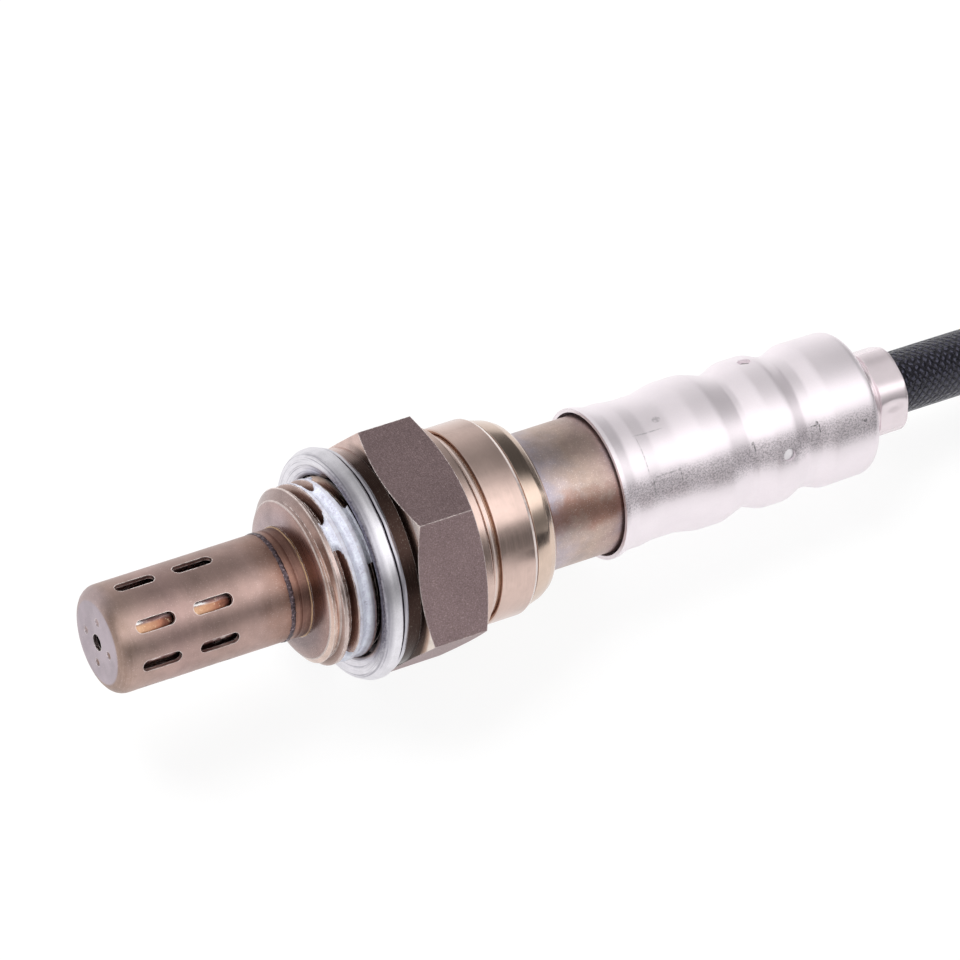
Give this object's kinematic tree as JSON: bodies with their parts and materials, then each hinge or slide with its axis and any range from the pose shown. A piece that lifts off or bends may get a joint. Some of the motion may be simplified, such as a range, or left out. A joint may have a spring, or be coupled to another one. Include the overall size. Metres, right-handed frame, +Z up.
{
  "type": "exhaust oxygen sensor",
  "caption": "Exhaust oxygen sensor with a slotted probe tube, threaded hexagon body, crimped rear cover and a braided lead to a plug.",
  "frame": {"origin": "centre of the sensor's footprint box, on the surface it lies on, the lead and plug left out", "axes": "+X along the sensor from the probe to the lead, +Z up, +Y to the sensor's other side"},
  "size_m": [0.1779, 0.0865, 0.0234],
  "materials": {
    "probe_tube_steel": "satin, heat-tinted olive and brown",
    "inner_tube_steel": "satin, coppery heat tint",
    "collar_steel": "dark weld ring",
    "shell_steel": "turned, slightly tarnished",
    "gasket_steel": "satin sheet",
    "thread_paste": "grey anti-seize paste, granular",
    "seal_steel": "plain",
    "zirconia": "matte, fired",
    "heater_ceramic": "matte, fired",
    "talc": "pressed powder",
    "insulator_ceramic": "matte, fired",
    "spring_steel": "plain",
    "sleeve_steel": "heat-tinted brown with bluish ends",
    "contact_metal": "plain strip",
    "wire_white": "smooth insulation",
    "wire_grey": "smooth insulation",
    "wire_black": "smooth insulation",
    "grommet_rubber": "matte",
    "membrane": "porous film",
    "cover_steel": "drawn sheet, fine circular grain",
    "braid": "flat yarn braid",
    "tape": "cloth tape",
    "boot_rubber": "matte",
    "plug_plastic": "moulded",
    "plug_seal_rubber": "matte",
    "lock_plastic": "moulded",
    "terminal_metal": "tinned strip"
  },
  "bodies": {
    "root": {"outer_protection_tube": "probe_tube_steel", "inner_protection_tube": "inner_tube_steel", "tube_collar": "collar_steel", "sensor_shell": "shell_steel", "crush_gasket": "gasket_steel", "thimble_seal_ring": "seal_steel", "zirconia_thimble": "zirconia", "heater_rod": "heater_ceramic", "talc_packing": "talc", "support_insulator": "insulator_ceramic", "disc_spring": "spring_steel", "crimp_ring": "seal_steel", "inner_sleeve": "sleeve_steel", "contact_carrier": "insulator_ceramic", "contact_heater_1": "contact_metal", "contact_signal": "contact_metal", "contact_heater_2": "contact_metal", "contact_ground": "contact_metal", "lead_wire_heater_1": "wire_white", "lead_wire_signal": "wire_black", "lead_wire_heater_2": "wire_white", "lead_wire_ground": "wire_grey", "cable_grommet": "grommet_rubber", "vent_membrane": "membrane", "rear_cover": "cover_steel", "braided_sleeve": "braid", "sleeve_coil": "braid", "coil_tie": "tape", "connector_boot": "boot_rubber", "connector_housing": "plug_plastic", "connector_seal": "plug_seal_rubber", "connector_lock": "lock_plastic", "connector_terminals": "terminal_metal"}
  },
  "joints": []
}
